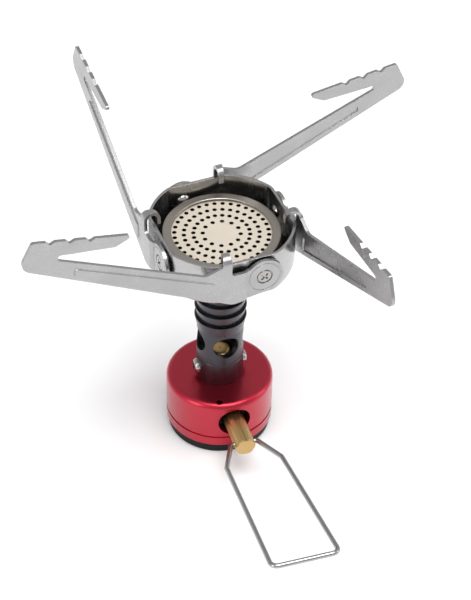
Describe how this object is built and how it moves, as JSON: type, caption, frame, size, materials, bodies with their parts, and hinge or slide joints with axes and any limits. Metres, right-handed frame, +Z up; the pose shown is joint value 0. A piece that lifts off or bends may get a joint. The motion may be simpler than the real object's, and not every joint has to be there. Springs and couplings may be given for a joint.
{
  "type": "camping stove",
  "caption": "Canister-top camping stove with folding pinwheel pot supports, round burner, fluted valve knob and wire handle.",
  "frame": {"origin": "mouth of the canister thread on the stem's axis, in the plane that the foot ring stands on", "axes": "+Z up along the stem; the valve knob and handle point along -Y"},
  "size_m": [0.1254, 0.1444, 0.104],
  "materials": {
    "red_anodised": "satin red anodised, turned",
    "black_rubber": "moulded, matte",
    "adapter_brass": "turned",
    "seal_rubber": "moulded, matte",
    "pin_brass": "turned",
    "filter_bronze": "sintered, dull",
    "lock_steel": "dull",
    "gland_brass": "turned, dull",
    "spindle_brass": "turned, satin",
    "wire_steel": "drawn wire, bright",
    "post_brass": "turned",
    "jet_brass": "turned, bright",
    "grey_anodised": "satin dark blue-grey anodised, turned",
    "screw_steel": "bright",
    "bowl_steel": "pressed, bright satin",
    "nut_brass": "milled",
    "cup_steel": "pressed, satin",
    "screen_steel": "dull",
    "disc_ceramic_white": "pale matte coating",
    "flange_steel": "rolled, satin",
    "arm_steel": "blanked sheet, satin",
    "rivet_steel": "bright",
    "washer_steel": "dull"
  },
  "bodies": {
    "stove": {"base_body": "red_anodised", "foot_ring": "black_rubber", "canister_adapter": "adapter_brass", "canister_seal": "seal_rubber", "valve_pin": "pin_brass", "inlet_filter": "filter_bronze", "gland_lock_pin": "lock_steel", "spindle_gland": "gland_brass", "jet_post": "post_brass", "jet": "jet_brass", "stem_collar": "grey_anodised", "stem_screws": "screw_steel", "mixer_tube": "grey_anodised", "bowl": "bowl_steel", "bowl_nut": "nut_brass", "burner_cup": "cup_steel", "flame_screen": "screen_steel", "burner_disc": "disc_ceramic_white", "burner_flange": "flange_steel", "arm_rivets": "rivet_steel", "pivot_washers": "washer_steel"},
    "valve": {"valve_spindle": "spindle_brass", "spindle_oring": "seal_rubber"},
    "handle": {"handle": "wire_steel"},
    "arm_back": {"support_arm_back": "arm_steel"},
    "arm_left": {"support_arm_left": "arm_steel"},
    "arm_front": {"support_arm_front": "arm_steel"},
    "arm_right": {"support_arm_right": "arm_steel"}
  },
  "joints": [
    {"name": "valve_turn", "type": "hinge", "parent": "stove", "child": "valve", "pos_m": [0, -0.02, 0.0126], "axis": [0, -1, 0], "range_deg": [0, 720]},
    {"name": "handle_swing", "type": "hinge", "parent": "valve", "child": "handle", "pos_m": [0, -0.0249, 0.0126], "axis": [-1, 0, 0], "range_deg": [-100, 80]},
    {"name": "arm_back_fold", "type": "hinge", "parent": "stove", "child": "arm_back", "pos_m": [-0.00627, 0.01958, 0.07186], "axis": [0.0872, -0.9962, 0], "range_deg": [-8, 240]},
    {"name": "arm_left_fold", "type": "hinge", "parent": "stove", "child": "arm_left", "pos_m": [-0.01958, -0.00627, 0.07186], "axis": [0.9962, 0.0872, 0], "range_deg": [-8, 240]},
    {"name": "arm_front_fold", "type": "hinge", "parent": "stove", "child": "arm_front", "pos_m": [0.00627, -0.01958, 0.07186], "axis": [-0.0872, 0.9962, 0], "range_deg": [-8, 240]},
    {"name": "arm_right_fold", "type": "hinge", "parent": "stove", "child": "arm_right", "pos_m": [0.01958, 0.00627, 0.07186], "axis": [-0.9962, -0.0872, 0], "range_deg": [-8, 240]}
  ],
  "couplings": [
    {"joint": "arm_back_fold", "follows": "arm_front_fold", "ratio": 1},
    {"joint": "arm_left_fold", "follows": "arm_front_fold", "ratio": 1},
    {"joint": "arm_right_fold", "follows": "arm_front_fold", "ratio": 1}
  ]
}
